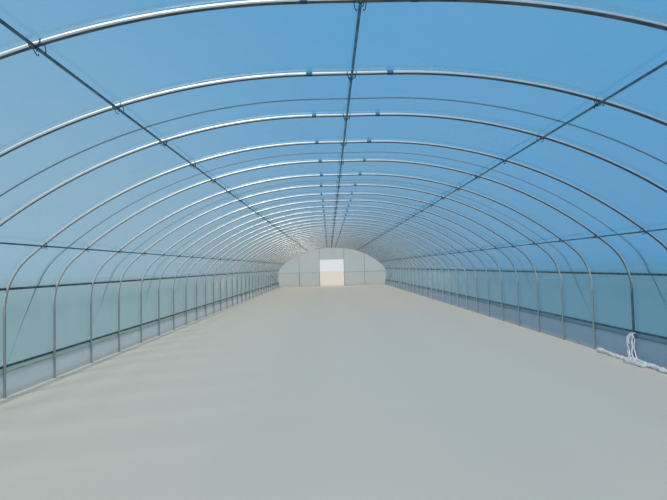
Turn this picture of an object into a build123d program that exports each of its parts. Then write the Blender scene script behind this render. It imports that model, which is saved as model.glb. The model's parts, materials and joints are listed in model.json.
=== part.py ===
from build123d import *
import os
from math import acos, asin, atan, atan2, cos, degrees, hypot, radians, sin, sqrt

# Single-span polytunnel greenhouse: bent steel hoops under a film cover.
# X runs across the tunnel, Y along it and Z up. The origin is on the ground at
# the centre of the plan. Lengths are in millimetres and angles in degrees.

os.makedirs("parts", exist_ok=True)

# Driving dimensions of the hoops
span = 8000  # between the leg centrelines
ridge_height = 2900  # centreline above the ground
leg_height = 1018  # straight part, up to the eave bend
bend_radius = 800  # centreline at the eaves
hoop_diameter = 32
hoop_spacing = 1000
hoop_spaces = 36
hoops_per_group = 7
ridge_piece_length = 620  # short straight tube that joins the two halves of a hoop
ridge_piece_diameter = 30

# Purlins, clipped under the hoops
purlin_diameter = 19
upper_purlin_girth = {"left": 1810, "right": 1930}  # from the ridge, measured around the hoop
lower_purlin_inset = 230  # from the start of the eave bend, around the hoop

# Film-lock channels on the outer side of the hoops
channel_width = 30
channel_depth = 15
channel_mouth = 19
channel_lip = 3
channel_wall = 1.5
eave_channel_angle = {"left": 17, "right": 14.25}  # up around the eave bend
skirt_channel_height = {"left": 355, "right": 420}

# Film, side curtains and their roll-up tubes
film_thickness = 3
roll_tube_diameter = 25
roll_tube_drop = {"left": 60, "right": 70}  # below the skirt channel's centre

# Diagonal wind braces inside the end bays
brace_diameter = 25
brace_bays = 4
brace_foot_height = 60
brace_top_drop = 80  # below the start of the eave bend

# End walls
doorway_width = 1800
doorway_height = 2000
end_post_diameter = 32
side_post_distance = 2450  # from the ridge line
end_rail_diameter = 25
end_rail_height = 1050

# Film ropes and their ground stakes
rope_diameter = 5
rope_every = 2  # hoop spaces from one rope to the next
rope_place = 0.6  # share of a hoop space from the hoop before it to a rope
stake_distance = 450  # outside the leg centreline
stake_width = 40
stake_thickness = 6
stake_height = 90
stake_hole_diameter = 14

# Gap left between pieces that touch
seat = 0.3

# Places worked out from the driving dimensions
half_span = span / 2
half_length = hoop_spacing * hoop_spaces / 2
hoop_radius = hoop_diameter / 2
ridge_half = ridge_piece_length / 2
bend_centre = (half_span - bend_radius, leg_height)
roof_run = bend_centre[0] - ridge_half
roof_rise = ridge_height - leg_height
crown_radius = (roof_run**2 + roof_rise**2 - bend_radius**2) / (2 * (roof_rise - bend_radius))
crown_centre = (ridge_half, ridge_height - crown_radius)
centre_distance = crown_radius - bend_radius
crown_end_angle = degrees(asin(roof_run / centre_distance))
upper_purlin_angle = {
    side: degrees((girth - ridge_half) / crown_radius) for side, girth in upper_purlin_girth.items()
}
lower_purlin_angle = crown_end_angle - degrees(lower_purlin_inset / crown_radius)
cover_offset = hoop_radius + seat  # from the hoop centreline to the film
curtain_offset = cover_offset + channel_depth + seat
cover_half_length = half_length + cover_offset + film_thickness
SIDES = {"left": -1, "right": 1}
ENDS = {"near": -1, "far": 1}


def crown_point(angle, offset=0.0):
    """X and Z of a place on the right roof arc, by its angle from upright."""
    radius = crown_radius + offset
    return (crown_centre[0] + radius * sin(radians(angle)), crown_centre[1] + radius * cos(radians(angle)))


def bend_point(angle, offset=0.0):
    """X and Z of a place on the right eave bend, by its angle above level."""
    radius = bend_radius + offset
    return (bend_centre[0] + radius * cos(radians(angle)), bend_centre[1] + radius * sin(radians(angle)))


def crown_arc(start, end, offset=0.0):
    """Right roof arc between two angles from upright."""
    return CenterArc(crown_centre, crown_radius + offset, 90 - start, start - end)


def bend_arc(start, end, offset=0.0):
    """Right eave arc between two angles above level."""
    return CenterArc(bend_centre, bend_radius + offset, start, end - start)


def save(builder, name):
    """Label a finished piece and write it."""
    builder.part.label = name
    export_step(builder.part, f"parts/{name}.step")


def place_on_side(sign):
    """Move a piece built on the right to the side that the sign gives."""
    if sign < 0:
        mirror(about=Plane.YZ, mode=Mode.REPLACE)


# One half of a hoop, from its foot at the ground to the ridge piece
with BuildPart() as half_hoop:
    with BuildLine(Plane.XZ) as half_line:
        Line((half_span, 0), (half_span, leg_height))
        bend_arc(0, 90 - crown_end_angle)
        crown_arc(crown_end_angle, 0)
    with BuildSketch(Plane.XY):
        with Locations((half_span, 0)):
            Circle(hoop_radius)
    sweep(path=half_line.line)

with BuildPart() as hoop:
    add(half_hoop.part)
    mirror(half_hoop.part, about=Plane.YZ)

for end, sign in ENDS.items():
    with BuildPart() as end_hoop:
        with Locations((0, sign * half_length, 0)):
            add(hoop.part)
    save(end_hoop, f"{end}_end_hoop")

inner_hoops = [i * hoop_spacing - half_length for i in range(1, hoop_spaces)]
for start in range(0, len(inner_hoops), hoops_per_group):
    with BuildPart() as hoop_group:
        with Locations([(0, y, 0) for y in inner_hoops[start : start + hoops_per_group]]):
            add(hoop.part)
    save(hoop_group, f"hoops_{start // hoops_per_group + 1}")

# Ridge pieces, one on each hoop, between the two halves
with BuildPart() as ridge_pieces:
    for i in range(hoop_spaces + 1):
        joint = (seat - ridge_half, i * hoop_spacing - half_length, ridge_height)
        with BuildSketch(Plane(joint, z_dir=(1, 0, 0))):
            Circle(ridge_piece_diameter / 2)
    extrude(amount=ridge_piece_length - 2 * seat)
save(ridge_pieces, "ridge_pieces")

# Purlins: one under the ridge pieces and two under each side of the roof
tube_half_length = half_length + hoop_radius
with BuildPart() as ridge_purlin:
    with BuildSketch(Plane.XZ):
        ridge_drop = (ridge_piece_diameter + purlin_diameter) / 2 + seat
        with Locations((0, ridge_height - ridge_drop)):
            Circle(purlin_diameter / 2)
    extrude(amount=tube_half_length, both=True)
save(ridge_purlin, "ridge_purlin")

for side, sign in SIDES.items():
    for level, angle in {"upper": upper_purlin_angle[side], "lower": lower_purlin_angle}.items():
        with BuildPart() as purlin:
            with BuildSketch(Plane.XZ):
                with Locations(crown_point(angle, -(hoop_radius + seat + purlin_diameter / 2))):
                    Circle(purlin_diameter / 2)
            extrude(amount=tube_half_length, both=True)
            place_on_side(sign)
        save(purlin, f"{level}_purlin_{side}")


def channel_plane(x, z, angle):
    """Plane with its Y out of the wall and its X down along the hoop."""
    return Plane((x, 0, z), x_dir=(sin(radians(angle)), 0, -cos(radians(angle))), z_dir=(0, -1, 0))


# Film-lock channels: dovetail sections with turned lips, mouths outwards
for side, sign in SIDES.items():
    eave_angle = eave_channel_angle[side]
    channel_planes = {
        "eave": channel_plane(*bend_point(eave_angle, cover_offset), eave_angle),
        "skirt": channel_plane(half_span + cover_offset, skirt_channel_height[side], 0),
    }
    for level, plane in channel_planes.items():
        with BuildPart() as channel:
            with BuildSketch(plane):
                half_wall = channel_wall / 2
                back = channel_width / 2 - channel_wall
                mouth = channel_mouth / 2 + half_wall
                rim = channel_depth - channel_wall
                with BuildLine():
                    Polyline(
                        (channel_lip - mouth, rim - channel_lip),
                        (-mouth, rim),
                        (-back, half_wall),
                        (back, half_wall),
                        (mouth, rim),
                        (mouth - channel_lip, rim - channel_lip),
                    )
                trace(line_width=channel_wall)
            extrude(amount=cover_half_length, both=True)
            place_on_side(sign)
        save(channel, f"{level}_channel_{side}")

# Roof film, in strips that meet over the purlins and end at the eave channel
channel_half_angle = degrees(atan((channel_width / 2 + seat) / (bend_radius + cover_offset)))
outer_offset = cover_offset + film_thickness
for side, sign in SIDES.items():
    purlin_angle = upper_purlin_angle[side]
    film_edge_angle = eave_channel_angle[side] + channel_half_angle
    with BuildPart() as ridge_film:
        with BuildSketch(Plane.XZ):
            with BuildLine():
                inner = crown_arc(0, purlin_angle, cover_offset)
                outer = crown_arc(0, purlin_angle, outer_offset)
                middle_heights = (ridge_height + cover_offset, ridge_height + outer_offset)
                Polyline(inner @ 0, *[(0, height) for height in middle_heights], outer @ 0)
                Line(inner @ 1, outer @ 1)
            make_face()
        extrude(amount=cover_half_length, both=True)
        place_on_side(sign)
    save(ridge_film, f"roof_film_ridge_{side}")

    with BuildPart() as middle_film:
        with BuildSketch(Plane.XZ):
            with BuildLine():
                inner = crown_arc(purlin_angle, lower_purlin_angle, cover_offset)
                outer = crown_arc(purlin_angle, lower_purlin_angle, outer_offset)
                Line(inner @ 0, outer @ 0)
                Line(inner @ 1, outer @ 1)
            make_face()
        extrude(amount=cover_half_length, both=True)
        place_on_side(sign)
    save(middle_film, f"roof_film_middle_{side}")

    with BuildPart() as eave_film:
        with BuildSketch(Plane.XZ):
            with BuildLine():
                inner = crown_arc(lower_purlin_angle, crown_end_angle, cover_offset)
                outer = crown_arc(lower_purlin_angle, crown_end_angle, outer_offset)
                inner_bend = bend_arc(90 - crown_end_angle, film_edge_angle, cover_offset)
                outer_bend = bend_arc(90 - crown_end_angle, film_edge_angle, outer_offset)
                Line(inner @ 0, outer @ 0)
                Line(inner_bend @ 1, outer_bend @ 1)
            make_face()
        extrude(amount=cover_half_length, both=True)
        place_on_side(sign)
    save(eave_film, f"roof_film_eave_{side}")

# Side curtains, from the mouth of the eave channel down to the roll-up tube
channel_mouth_half_angle = degrees(atan(channel_mouth / 2 / (bend_radius + curtain_offset)))
roll_tube_radius = roll_tube_diameter / 2
roll_tube_x = half_span + curtain_offset + film_thickness / 2
for side, sign in SIDES.items():
    curtain_top_angle = eave_channel_angle[side] - channel_mouth_half_angle
    roll_tube_z = skirt_channel_height[side] - roll_tube_drop[side]
    curtain_foot = roll_tube_z + roll_tube_radius + seat
    with BuildPart() as side_curtain:
        with BuildSketch(Plane.XZ):
            with BuildLine():
                inner = bend_arc(0, curtain_top_angle, curtain_offset)
                outer = bend_arc(0, curtain_top_angle, curtain_offset + film_thickness)
                Line(inner @ 1, outer @ 1)
                Polyline(
                    inner @ 0,
                    (half_span + curtain_offset, curtain_foot),
                    (half_span + curtain_offset + film_thickness, curtain_foot),
                    outer @ 0,
                )
            make_face()
        extrude(amount=cover_half_length, both=True)
        place_on_side(sign)
    save(side_curtain, f"side_curtain_{side}")

    with BuildPart() as roll_tube:
        with BuildSketch(Plane.XZ):
            with Locations((roll_tube_x, roll_tube_z)):
                Circle(roll_tube_radius)
        extrude(amount=cover_half_length, both=True)
        place_on_side(sign)
    save(roll_tube, f"roll_tube_{side}")

# Skirts, from the ground to the lower edge of the skirt channel
for side, sign in SIDES.items():
    skirt_height = skirt_channel_height[side] - channel_width / 2 - seat
    with BuildPart() as skirt:
        with BuildSketch(Plane.XY):
            with Locations((half_span + cover_offset + film_thickness / 2, 0)):
                Rectangle(film_thickness, 2 * cover_half_length)
        extrude(amount=skirt_height)
        place_on_side(sign)
    save(skirt, f"skirt_{side}")

# Wind braces, from the foot of each end hoop up to the eave some bays in
brace_x = half_span - hoop_radius - seat - brace_diameter / 2
brace_run = brace_bays * hoop_spacing
brace_rise = leg_height - brace_top_drop - brace_foot_height
for end, end_sign in ENDS.items():
    with BuildPart() as wind_braces:
        foot = Vector(brace_x, end_sign * half_length, brace_foot_height)
        rise = Vector(0, -end_sign * brace_run, brace_rise)
        with BuildSketch(Plane(foot, z_dir=rise)):
            Circle(brace_diameter / 2)
        extrude(amount=rise.length)
        mirror(about=Plane.YZ)
    save(wind_braces, f"{end}_wind_braces")

# End walls: tube posts under the end hoop, a door header, rails and film
end_post_radius = end_post_diameter / 2
end_rail_radius = end_rail_diameter / 2
door_post_x = (doorway_width + end_post_diameter) / 2
header_z = doorway_height + end_rail_radius
post_face = end_post_radius + seat
end_rail_top = end_rail_height + end_rail_radius
bend_rise = max(0, end_rail_top - leg_height)
leg_face = bend_centre[0] + sqrt((bend_radius - hoop_radius) ** 2 - bend_rise**2) - seat


def tube_across(start, end, z):
    """Level tube along X between two faces, at one height."""
    with BuildSketch(Plane((start, 0, z), z_dir=(1, 0, 0))) as section:
        Circle(end_rail_radius)
    extrude(section.sketch, amount=end - start)


with BuildPart() as end_posts:
    with BuildSketch(Plane.XY):
        with Locations((door_post_x, 0), (side_post_distance, 0)):
            Circle(end_post_radius)
    extrude(amount=ridge_height)
    with Locations(Location((crown_centre[0], 0, crown_centre[1]), (90, 0, 0))):
        Cylinder(crown_radius - hoop_radius - seat, 2 * end_post_diameter, mode=Mode.INTERSECT)
    mirror(about=Plane.YZ)

with BuildPart() as door_header:
    tube_across(post_face - door_post_x, door_post_x - post_face, header_z)

with BuildPart() as end_rails:
    tube_across(door_post_x + post_face, side_post_distance - post_face, end_rail_height)
    tube_across(side_post_distance + post_face, leg_face, end_rail_height)
    mirror(about=Plane.YZ)

# End film, inside the edge of the roof film, cut by the doorway
with BuildPart() as end_film:
    with BuildSketch(Plane.XZ):
        with BuildLine():
            foot = half_span + hoop_radius
            eave = bend_arc(0, 90 - crown_end_angle, hoop_radius)
            roof = crown_arc(crown_end_angle, 0, hoop_radius)
            wall = Line((foot, 0), eave @ 0)
            mirror(eave, about=Plane.YZ)
            mirror(roof, about=Plane.YZ)
            mirror(wall, about=Plane.YZ)
            Line((-ridge_half, ridge_height + hoop_radius), (ridge_half, ridge_height + hoop_radius))
            Line((-foot, 0), (foot, 0))
        make_face()
    extrude(amount=film_thickness / 2, both=True)

panel_depth = 2 * film_thickness
side_panel_width = half_span + hoop_radius - doorway_width / 2
side_panel_x = doorway_width / 2 + side_panel_width / 2
END_PANELS = {
    "left": ((-side_panel_x, 0, 0), (side_panel_width, panel_depth, 2 * ridge_height)),
    "right": ((side_panel_x, 0, 0), (side_panel_width, panel_depth, 2 * ridge_height)),
    "top": ((0, 0, doorway_height + ridge_height / 2), (doorway_width, panel_depth, ridge_height)),
}
for end, end_sign in ENDS.items():
    frame_pieces = {"end_posts": end_posts, "door_header": door_header, "end_rails": end_rails}
    for name, piece in frame_pieces.items():
        with BuildPart() as placed_frame:
            with Locations((0, end_sign * half_length, 0)):
                add(piece.part)
        save(placed_frame, f"{end}_{name}")
    film_y = end_sign * (half_length + cover_offset + film_thickness / 2)
    for panel, (centre, size) in END_PANELS.items():
        with BuildPart() as end_panel:
            with Locations((0, film_y, 0)):
                add(end_film.part)
            with Locations(Vector(*centre) + Vector(0, film_y, 0)):
                Box(*size, mode=Mode.INTERSECT)
        save(end_panel, f"{end}_film_{panel}")

# Film ropes: tight over the roof film, round the eave and down to the stakes
rope_radius = rope_diameter / 2
rope_crown_offset = outer_offset + seat + rope_radius
rope_eave_offset = curtain_offset + film_thickness + seat + rope_radius
rope_crown_radius = crown_radius + rope_crown_offset
rope_eave_radius = bend_radius + rope_eave_offset
rope_leave_angle = crown_end_angle - degrees(acos((rope_crown_radius - rope_eave_radius) / centre_distance))
stake_x = half_span + stake_distance
foot_run = stake_x - bend_centre[0]
foot_drop = leg_height - stake_height
foot_distance = hypot(foot_run, foot_drop)
rope_eave_angle = degrees(acos(rope_eave_radius / foot_distance) - atan2(foot_drop, foot_run))
rope_end_gap = (seat + rope_radius * sin(radians(rope_eave_angle))) / cos(radians(rope_eave_angle))
rope_drop_length = sqrt(foot_distance**2 - rope_eave_radius**2) - rope_end_gap
with BuildPart() as half_rope:
    with BuildLine(Plane.XZ) as rope_line:
        Line((0, ridge_height + rope_crown_offset), (ridge_half, ridge_height + rope_crown_offset))
        over_roof = crown_arc(0, rope_leave_angle, rope_crown_offset)
        round_eave = bend_arc(90 - rope_leave_angle, rope_eave_angle, rope_eave_offset)
        Line(over_roof @ 1, round_eave @ 0)
        PolarLine(round_eave @ 1, rope_drop_length, rope_eave_angle - 90)
    with BuildSketch(Plane((0, 0, ridge_height + rope_crown_offset), z_dir=(1, 0, 0))):
        Circle(rope_radius)
    sweep(path=rope_line.line)
    mirror(about=Plane.YZ)

rope_ys = [(gap + rope_place) * hoop_spacing - half_length for gap in range(0, hoop_spaces, rope_every)]
with BuildPart() as film_ropes:
    with Locations([(0, y, 0) for y in rope_ys]):
        add(half_rope.part)
save(film_ropes, "film_ropes")

# Ground stakes: flat bars with a hole for the rope
with BuildPart() as stake_pair:
    with BuildSketch(Plane.YZ.offset(stake_x - stake_thickness / 2)):
        with Locations((0, stake_height / 2)):
            Rectangle(stake_width, stake_height)
        with Locations((0, stake_height - stake_hole_diameter)):
            Circle(stake_hole_diameter / 2, mode=Mode.SUBTRACT)
    extrude(amount=stake_thickness)
    mirror(about=Plane.YZ)

with BuildPart() as rope_stakes:
    with Locations([(0, y, 0) for y in rope_ys]):
        add(stake_pair.part)
save(rope_stakes, "rope_stakes")
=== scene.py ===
"""Looks of a single-span polytunnel greenhouse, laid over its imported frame.

X runs across the tunnel, Y along it and Z up, all in metres. The camera stands
just inside the near doorway and looks along the tunnel.
"""

import json
import logging
import math
import random
from dataclasses import dataclass
from enum import Enum

import bmesh
import bpy
from mathutils import Matrix, Vector, noise

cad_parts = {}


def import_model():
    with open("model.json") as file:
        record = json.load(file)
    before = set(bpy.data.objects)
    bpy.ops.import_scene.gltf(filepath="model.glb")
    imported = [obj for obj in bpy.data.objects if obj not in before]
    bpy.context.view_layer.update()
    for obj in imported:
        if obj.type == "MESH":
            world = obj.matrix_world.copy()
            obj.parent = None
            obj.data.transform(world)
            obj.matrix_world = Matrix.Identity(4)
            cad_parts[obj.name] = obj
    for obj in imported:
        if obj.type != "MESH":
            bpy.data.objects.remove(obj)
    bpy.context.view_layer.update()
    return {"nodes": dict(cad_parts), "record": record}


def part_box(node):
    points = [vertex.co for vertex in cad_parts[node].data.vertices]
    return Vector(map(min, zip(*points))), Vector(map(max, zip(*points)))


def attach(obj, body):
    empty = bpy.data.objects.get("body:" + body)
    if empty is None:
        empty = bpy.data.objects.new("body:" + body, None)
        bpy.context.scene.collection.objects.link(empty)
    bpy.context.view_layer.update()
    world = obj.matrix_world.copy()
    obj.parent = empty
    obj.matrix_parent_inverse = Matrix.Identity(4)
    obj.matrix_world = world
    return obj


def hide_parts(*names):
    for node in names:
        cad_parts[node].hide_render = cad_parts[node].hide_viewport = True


log = logging.getLogger("polytunnel")

Colour = tuple[float, float, float, float]
Triple = tuple[float, float, float]
Number = "Signal | float"
Value = "Signal | float | Colour"
Verts = list[bmesh.types.BMVert]


class Side(Enum):
    """A long side of the tunnel, with the sign of its X."""

    LEFT = -1
    RIGHT = 1

    @property
    def word(self) -> str:
        """Side as it stands in the names of nodes."""
        return self.name.lower()

    @property
    def mirror(self) -> Matrix:
        """Matrix that takes a shape built on the right to this side, or back."""
        return Matrix.Diagonal((self.value, 1, 1, 1))


class End(Enum):
    """An end wall of the tunnel, with the sign of its Y."""

    NEAR = -1
    FAR = 1


def frame_at(origin: Vector, along: Vector, out: Vector) -> Matrix:
    """Matrix with its origin at a place, its X along one way and its Z out another, square to it."""
    turn = Matrix((along, out.cross(along), out)).transposed().to_4x4()
    return Matrix.Translation(origin) @ turn


@dataclass(frozen=True)
class Arch:
    """Centreline of a hoop: straight legs, eave bends and two roof arcs.

    Angles on the roof are from upright and angles on the bend are above level.
    """

    half_span: float = 4.0
    ridge_height: float = 2.9
    ridge_half: float = 0.31
    leg_height: float = 1.018
    bend_radius: float = 0.8
    tube_radius: float = 0.016
    spacing: float = 1.0
    half_length: float = 18.0
    rope_every: int = 2
    rope_place: float = 0.6
    cover_offset: float = 0.0163
    eave_degrees: tuple[float, float] = (17.0, 14.25)
    skirt_heights: tuple[float, float] = (0.355, 0.42)

    @property
    def crown_radius(self) -> float:
        """Radius of the roof arcs.

        Returns:
            The radius with which they run smoothly into the bends.
        """
        run = self.half_span - self.bend_radius - self.ridge_half
        rise = self.ridge_height - self.leg_height
        return (run**2 + rise**2 - self.bend_radius**2) / (2 * (rise - self.bend_radius))

    @property
    def crown_centre(self) -> Vector:
        """Centre of the right roof arc."""
        return Vector((self.ridge_half, 0, self.ridge_height - self.crown_radius))

    @property
    def crown_end(self) -> float:
        """Angle from upright where the right roof arc meets the bend."""
        run = self.half_span - self.bend_radius - self.ridge_half
        return math.asin(run / (self.crown_radius - self.bend_radius))

    @property
    def bend_centre(self) -> Vector:
        """Centre of the right eave bend."""
        return Vector((self.half_span - self.bend_radius, 0, self.leg_height))

    @property
    def hoop_places(self) -> list[float]:
        """Y of every hoop, from the near end to the far end."""
        count = round(2 * self.half_length / self.spacing) + 1
        return [i * self.spacing - self.half_length for i in range(count)]

    @property
    def rope_places(self) -> list[float]:
        """Y of every film rope."""
        return [y + self.rope_place * self.spacing for y in self.hoop_places[: -1 : self.rope_every]]

    def roof_angle(self, x: float) -> float:
        """Angle from upright of the roof at an X, which is nought over the straight ridge piece."""
        return math.asin(max(0.0, abs(x) - self.ridge_half) / self.crown_radius)

    def skirt_height(self, side: Side) -> float:
        """Height of a skirt channel's middle."""
        return self.skirt_heights[side is Side.RIGHT]

    def channel_frame(self, side: Side) -> Matrix:
        """Frame of an eave channel: its X down the wall, its Z out of it.

        Args:
            side: Side of the tunnel.

        Returns:
            The matrix, with its origin on the channel's back.
        """
        angle = math.radians(self.eave_degrees[side is Side.RIGHT])
        out = Vector((math.cos(angle), 0, math.sin(angle)))
        origin = self.bend_centre + out * (self.bend_radius + self.cover_offset)
        down = Vector((math.sin(angle), 0, -math.cos(angle)))
        flip = Vector((side.value, 1, 1))
        return frame_at(origin * flip, down * flip, out * flip)

    def skirt_channel_frame(self, side: Side) -> Matrix:
        """Frame of a skirt channel, set out like an eave channel's."""
        origin = Vector((side.value * (self.half_span + self.cover_offset), 0, self.skirt_height(side)))
        return frame_at(origin, Vector((0, 0, -1)), Vector((side.value, 0, 0)))


@dataclass(frozen=True)
class Signal:
    """A shader output that takes part in arithmetic."""

    book: "ShaderBook"
    socket: bpy.types.NodeSocket | None

    def _math(self, operation: str, first: Number, second: Number) -> "Signal":
        """Add one Math node on two numbers or signals."""
        return self.book.node("ShaderNodeMath", {"operation": operation}, {0: first, 1: second})

    def __add__(self, other: Number) -> "Signal":
        """Sum."""
        return self._math("ADD", self, other)

    def __radd__(self, other: Number) -> "Signal":
        """Sum with the number first."""
        return self._math("ADD", other, self)

    def __sub__(self, other: Number) -> "Signal":
        """Difference."""
        return self._math("SUBTRACT", self, other)

    def __rsub__(self, other: Number) -> "Signal":
        """Difference with the number first."""
        return self._math("SUBTRACT", other, self)

    def __mul__(self, other: Number) -> "Signal":
        """Product."""
        return self._math("MULTIPLY", self, other)

    def __pow__(self, other: Number) -> "Signal":
        """Power."""
        return self._math("POWER", self, other)

    def highest(self, other: Number) -> "Signal":
        """The greater of the two at each place."""
        return self._math("MAXIMUM", self, other)

    def ramp(self, low: float, high: float) -> "Signal":
        """Smooth rise from nought at low to one at high."""
        inputs = {"Value": self, "From Min": low, "From Max": high}
        return self.book.node("ShaderNodeMapRange", {"interpolation_type": "SMOOTHSTEP"}, inputs)


class ShaderBook:
    """Builds the node tree of one material, or of the world."""

    full_share: float = 0.4
    leaning_heights: tuple[float, float] = (0.35, 1.3)

    def __init__(self, owner: bpy.types.Material | bpy.types.World) -> None:
        """Start with an empty tree.

        Args:
            owner: What the tree belongs to.
        """
        self.owner = owner
        owner.use_nodes = True
        self.tree = owner.node_tree
        self.tree.nodes.clear()

    @classmethod
    def material(cls, name: str) -> "ShaderBook":
        """Start the book of a new material."""
        return cls(bpy.data.materials.new(name))

    def node(
        self, kind: str, settings: dict | None = None, inputs: dict | None = None, output: str | int = 0
    ) -> Signal:
        """Add a node.

        Args:
            kind: Type name of the node.
            settings: Properties, set before its sockets.
            inputs: Values or signals by socket name or number.
            output: Name or number of the output that is wanted.

        Returns:
            The chosen output.
        """
        made = self.tree.nodes.new(kind)
        for key, value in (settings or {}).items():
            setattr(made, key, value)
        for key, value in (inputs or {}).items():
            if isinstance(value, Signal):
                self.tree.links.new(value.socket, made.inputs[key])
            else:
                made.inputs[key].default_value = value
        return Signal(self, made.outputs[output] if made.outputs else None)

    def place(self) -> Signal:
        """Object coordinates in metres."""
        return self.node("ShaderNodeTexCoord", output="Object")

    def axis(self, letter: str, where: Signal | None = None) -> Signal:
        """One part of a vector, or of the object coordinates, by its letter."""
        return self.node("ShaderNodeSeparateXYZ", inputs={0: where or self.place()}, output=letter)

    def rise(self, letter: str, low: float, high: float) -> Signal:
        """Smooth rise from nought to one between two places on an axis."""
        return self.axis(letter).ramp(low, high)

    def stretched(self, scale: Triple) -> Signal:
        """Object coordinates with a scale of their own on each axis."""
        return self.node("ShaderNodeMapping", inputs={"Vector": self.place(), "Scale": scale})

    def noise(
        self, scale: float, detail: float = 3.0, rough: float = 0.5, where: Signal | None = None
    ) -> Signal:
        """Noise between nought and one, by its features per metre, octaves and their strength."""
        inputs = {"Vector": where or self.place(), "Scale": scale, "Detail": detail, "Roughness": rough}
        return self.node("ShaderNodeTexNoise", inputs=inputs)

    def spots(self, scale: float, size: float) -> Signal:
        """Round spots, by the cells per metre of their lattice and their share of a cell."""
        cells = self.node("ShaderNodeTexVoronoi", inputs={"Vector": self.place(), "Scale": scale})
        return 1 - cells.ramp(size * self.full_share, size)

    def stripes(self, first: float, pitch: float, half_width: float, lean: float = 0.0) -> Signal:
        """Soft lines along X at an even pitch.

        Args:
            first: Y of one of the lines.
            pitch: Distance between lines.
            half_width: Distance from a line's middle to its faded edge.
            lean: Distance that a line's foot on the wall moves against Y.

        Returns:
            One in the middle of a line and nought outside it.
        """
        along = self.axis("Y")
        if lean:
            along = along + (1 - self.rise("Z", *self.leaning_heights)) * lean
        folded = {0: along - first, 1: pitch / 2}
        away = self.node("ShaderNodeMath", {"operation": "PINGPONG"}, folded)
        return 1 - away.ramp(half_width * self.full_share, half_width)

    def way_up(self) -> Signal:
        """How far the surface faces upwards, from minus one to one."""
        return self.axis("Z", self.node("ShaderNodeTexCoord", output="Normal"))

    def blend(self, amount: Number, first: Colour | Signal, second: Colour | Signal) -> Signal:
        """Mix two colours, by the share of the second."""
        return self.node("ShaderNodeMix", {"data_type": "RGBA"}, {0: amount, 6: first, 7: second}, output=2)

    def bump(self, height: Signal, distance: float, strength: float) -> Signal:
        """Normal from a height, by the metres that one stands for and the share of the effect."""
        inputs = {"Height": height, "Distance": distance, "Strength": strength}
        return self.node("ShaderNodeBump", inputs=inputs)

    def mixed(self, amount: Number, first: Signal, second: Signal) -> Signal:
        """Mix two shaders, by the share of the second."""
        return self.node("ShaderNodeMixShader", inputs={0: amount, 1: first, 2: second})

    def clear(self, colour: Colour) -> Signal:
        """Shader that light passes straight through, tinted."""
        return self.node("ShaderNodeBsdfTransparent", inputs={"Color": colour})

    def glow(self, colour: Colour | Signal) -> Signal:
        """Shader that lets light from behind spread through."""
        return self.node("ShaderNodeBsdfTranslucent", inputs={"Color": colour})

    def skin(self, **inputs: Value) -> Signal:
        """General surface shader, with its inputs named by words joined by underlines."""
        named = {name.replace("_", " "): value for name, value in inputs.items()}
        return self.node("ShaderNodeBsdfPrincipled", inputs=named)

    def finish(self, shader: Signal) -> bpy.types.Material | bpy.types.World:
        """Join the last shader to the output.

        Args:
            shader: The surface shader.

        Returns:
            The owner of the finished tree.
        """
        kind = "World" if isinstance(self.owner, bpy.types.World) else "Material"
        self.node(f"ShaderNodeOutput{kind}", inputs={"Surface": shader})
        return self.owner


@dataclass(frozen=True)
class GalvanisedSteel:
    """Zinc-coated tube or strip with a mottled bloom, a painted haze towards the far end where it has one,
    and a painted shade on its underside where it has one.
    """

    name: str
    bright: Colour
    dull: Colour
    metallic: float = 0.8
    roughness: float = 0.38
    dust: float = 0.0
    stain_and_haze_colour: Colour = (0.33, 0.28, 0.21, 1)
    under: float = 0.0
    underside_shade_colour: Colour = (0.004, 0.038, 0.07, 1)

    def material(self) -> bpy.types.Material:
        """Build the finish.

        Returns:
            The material.
        """
        book = ShaderBook.material(self.name)
        bloom = book.noise(9.0, 4.0).ramp(0.35, 0.68)
        spangle = book.noise(90.0, 2.0).ramp(0.3, 0.75)
        colour = book.blend(bloom * 0.75 + spangle * 0.25, self.bright, self.dull)
        stain = book.noise(26.0, 5.0, 0.7).ramp(0.64, 0.78) * 0.3
        # Painted distance haze: the tube dulled towards the far end with the stain colour.
        dust = book.rise("Y", -8.0, 14.0) * self.dust
        colour = book.blend(stain.highest(dust), colour, self.stain_and_haze_colour)
        # Painted shade: the underside, the right side, the wall foot and the far end, blended towards a
        # near-black teal.
        if self.under:
            painted_underside_shade = (1 - self._lit(book).ramp(-0.74, -0.44)) * (self.under - bloom * 0.1)
            colour = book.blend(painted_underside_shade, colour, self.underside_shade_colour)
        return book.finish(book.skin(
            Base_Color=colour,
            Metallic=self.metallic,
            Roughness=self.roughness + bloom * 0.14 + spangle * 0.06,
            Normal=book.bump(spangle, 0.0004, 0.5),
        ))

    @staticmethod
    def _lit(book: ShaderBook) -> Signal:
        """How far a tube's skin faces up, lowered where painted shade darkens the tubes.

        Args:
            book: Book of the material.

        Returns:
            The way up, lowered for painted shade on the right, at the foot of the walls and towards the far
            end, and raised for painted light at the far right.
        """
        right = book.rise("X", -1.0, 3.0) * 0.38
        near = book.rise("X", 3.0, 3.6) * (1 - book.rise("Y", -10.8, -10.2))
        foot = (1 - book.rise("Z", 0.9, 1.7)) * (0.6 + near * 0.09)
        far = book.rise("Y", -12.0, 8.0) * 0.32
        far_right = book.rise("X", -1.0, 3.0) * book.rise("Y", -8.0, 6.0)
        return book.way_up() - right.highest(foot).highest(far) + far_right * 0.16


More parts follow.
